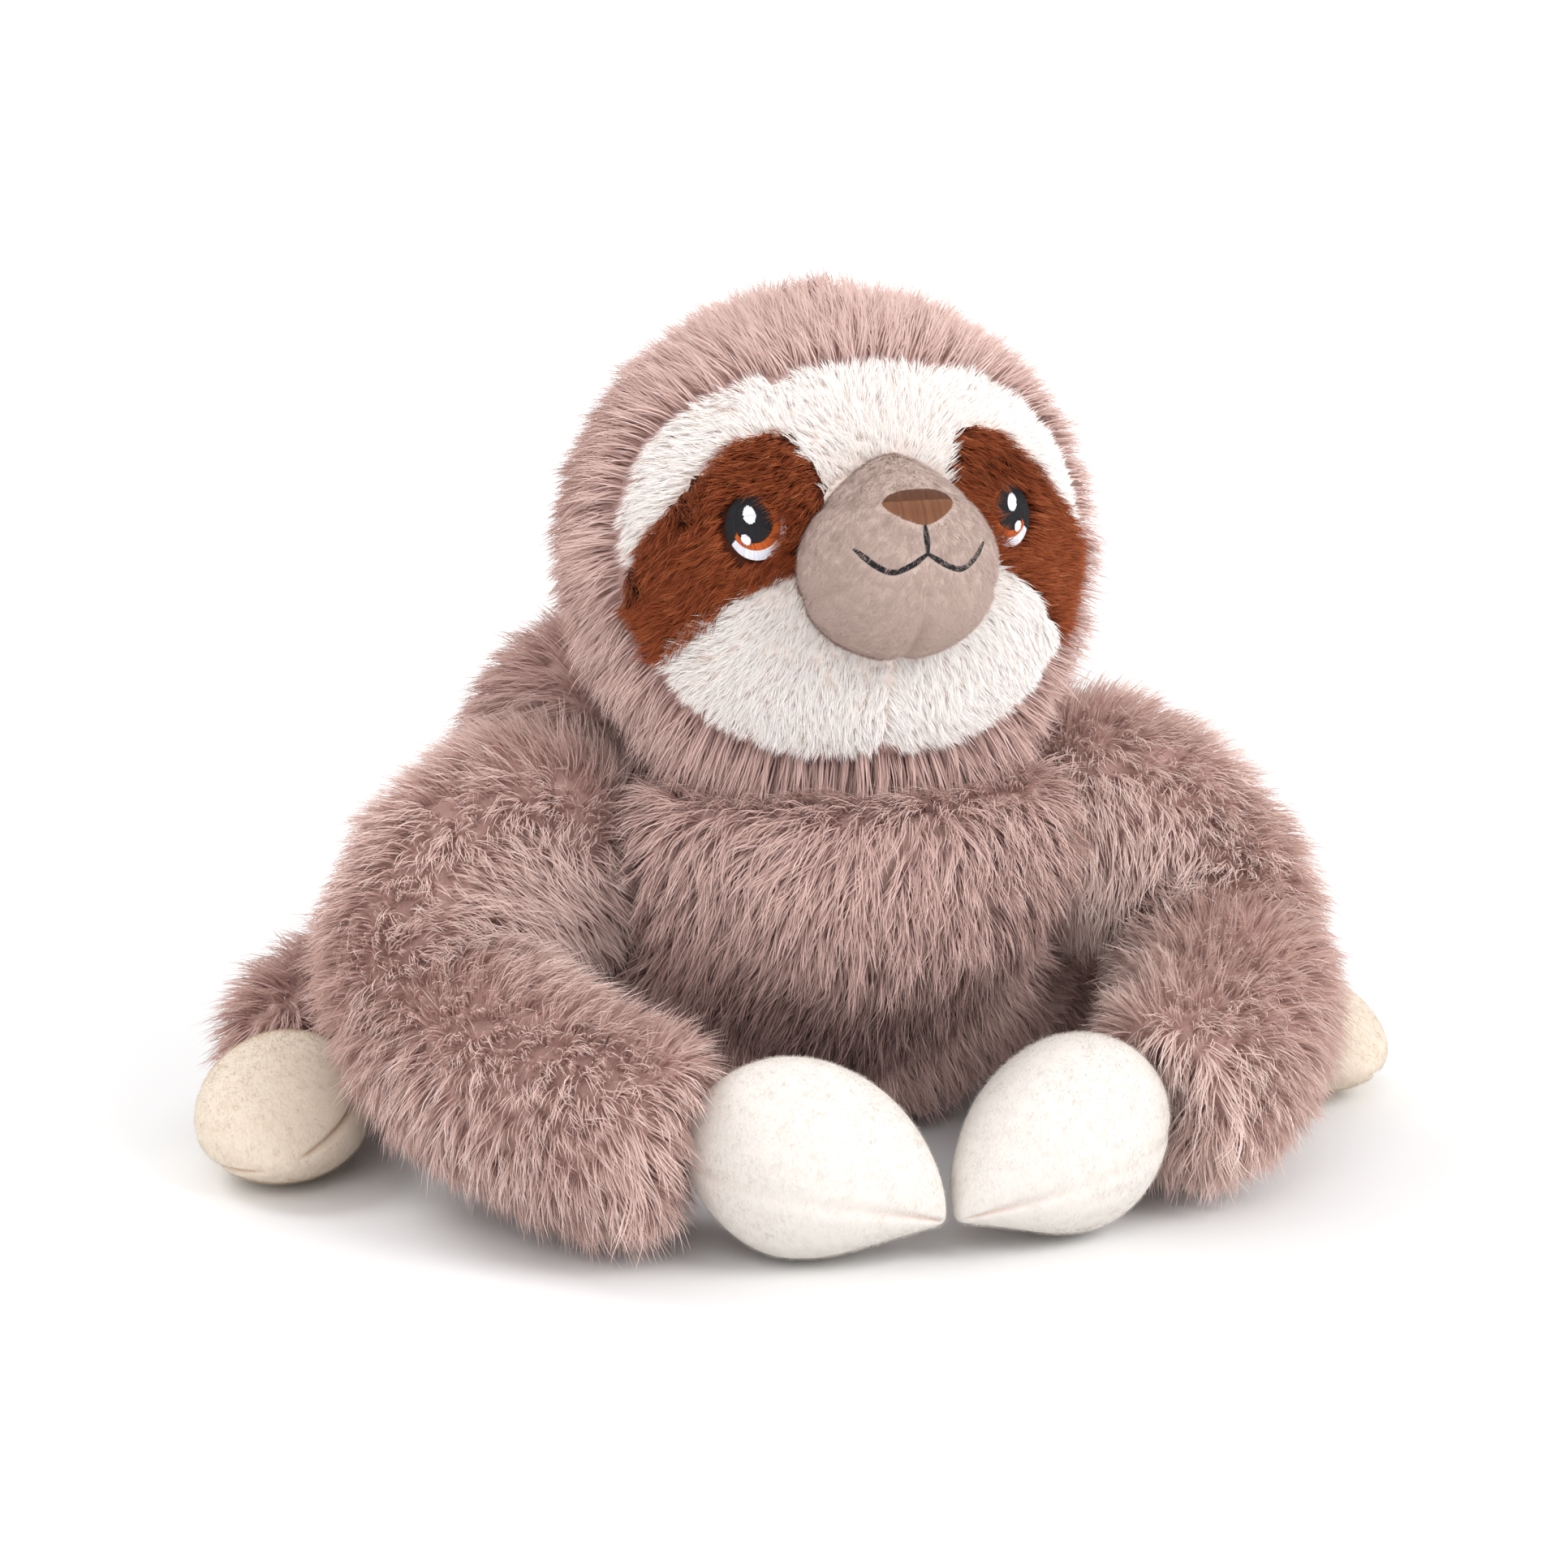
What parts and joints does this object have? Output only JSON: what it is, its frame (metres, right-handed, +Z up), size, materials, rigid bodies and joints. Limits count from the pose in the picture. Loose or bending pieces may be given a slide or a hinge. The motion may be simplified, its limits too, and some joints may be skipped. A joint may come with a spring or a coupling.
{
  "type": "plush sloth",
  "caption": "Long-pile plush sloth lying on its folded arms, with a hood of fur round a cream face, embroidered eyes, velvet muzzle, mitten hands and feet.",
  "frame": {"origin": "on the table under the middle of the outline", "axes": "+Z up, -Y the way the face looks, +X the toy's own left side"},
  "size_m": [0.3226, 0.2436, 0.2287],
  "materials": {
    "long_pile": "long mauve-brown faux fur with lighter tips",
    "short_pile": "sheared cream plush",
    "rust_pile": "medium rust-brown plush",
    "muzzle_velvet": "grey-beige minky velvet",
    "paw_velvet": "cream minky velvet",
    "filling": "white polyester fibre filling",
    "pouch_cloth": "woven pouch of plastic pellets",
    "black_thread": "black satin stitch",
    "white_thread": "white satin stitch",
    "orange_thread": "orange satin stitch",
    "nose_thread": "brown satin stitch",
    "nose_band_thread": "dark brown satin stitch"
  },
  "bodies": {
    "torso": {"back_panel_left": "long_pile", "back_panel_right": "long_pile", "chest_panel": "long_pile", "base_panel": "long_pile", "torso_stuffing": "filling", "pellet_pouch": "pouch_cloth"},
    "neck": {"neck_stuffing": "filling"},
    "head": {"head_stuffing": "filling", "hood_crown": "long_pile", "hood_left": "long_pile", "hood_right": "long_pile", "forehead_panel": "short_pile", "cheek_left": "short_pile", "cheek_right": "short_pile", "eye_patch_left": "rust_pile", "eye_lid_and_pupil_left": "black_thread", "eye_iris_left": "orange_thread", "eye_white_left": "white_thread", "eye_highlight_left": "white_thread", "eye_sparkle_left": "white_thread", "eye_patch_right": "rust_pile", "eye_lid_and_pupil_right": "black_thread", "eye_iris_right": "orange_thread", "eye_white_right": "white_thread", "eye_highlight_right": "white_thread", "eye_sparkle_right": "white_thread", "muzzle_cap": "muzzle_velvet", "muzzle_stuffing": "filling", "nose_band": "nose_band_thread", "nose_satin": "nose_thread", "mouth_line": "black_thread"},
    "arm_left": {"upper_arm_left": "long_pile", "forearm_left": "long_pile", "arm_stuffing_left": "filling"},
    "hand_left": {"hand_front_left": "paw_velvet", "hand_under_left": "paw_velvet", "hand_top_left": "paw_velvet", "hand_stuffing_left": "filling"},
    "leg_left": {"leg_left": "long_pile", "leg_stuffing_left": "filling", "foot_under_left": "paw_velvet", "foot_top_left": "paw_velvet", "foot_stuffing_left": "filling"},
    "arm_right": {"upper_arm_right": "long_pile", "forearm_right": "long_pile", "arm_stuffing_right": "filling"},
    "hand_right": {"hand_front_right": "paw_velvet", "hand_under_right": "paw_velvet", "hand_top_right": "paw_velvet", "hand_stuffing_right": "filling"},
    "leg_right": {"leg_right": "long_pile", "leg_stuffing_right": "filling", "foot_under_right": "paw_velvet", "foot_top_right": "paw_velvet", "foot_stuffing_right": "filling"}
  },
  "joints": [
    {"name": "head_turn", "type": "hinge", "parent": "torso", "child": "neck", "pos_m": [0, 0.00386, 0.112], "axis": [0, 0, 1], "range_deg": [-25, 25]},
    {"name": "head_nod", "type": "hinge", "parent": "neck", "child": "head", "pos_m": [0, 0.00386, 0.112], "axis": [1, 0, 0], "range_deg": [-8, 8]},
    {"name": "arm_raise_left", "type": "hinge", "parent": "torso", "child": "arm_left", "pos_m": [0.073, 0.01586, 0.08], "axis": [-1, 0, 0], "range_deg": [0, 40]},
    {"name": "hand_flex_left", "type": "hinge", "parent": "arm_left", "child": "hand_left", "pos_m": [0.053, -0.08314, 0.028], "axis": [-0.4886, 0.8725, 0], "range_deg": [0, 20]},
    {"name": "leg_swing_left", "type": "hinge", "parent": "torso", "child": "leg_left", "pos_m": [0.064, 0.07586, 0.032], "axis": [0, 0, 1], "range_deg": [0, 30]},
    {"name": "arm_raise_right", "type": "hinge", "parent": "torso", "child": "arm_right", "pos_m": [-0.073, 0.01586, 0.08], "axis": [-1, 0, 0], "range_deg": [0, 40]},
    {"name": "hand_flex_right", "type": "hinge", "parent": "arm_right", "child": "hand_right", "pos_m": [-0.053, -0.08314, 0.028], "axis": [-0.4886, -0.8725, 0], "range_deg": [0, 20]},
    {"name": "leg_swing_right", "type": "hinge", "parent": "torso", "child": "leg_right", "pos_m": [-0.064, 0.07586, 0.032], "axis": [0, 0, -1], "range_deg": [0, 30]}
  ]
}
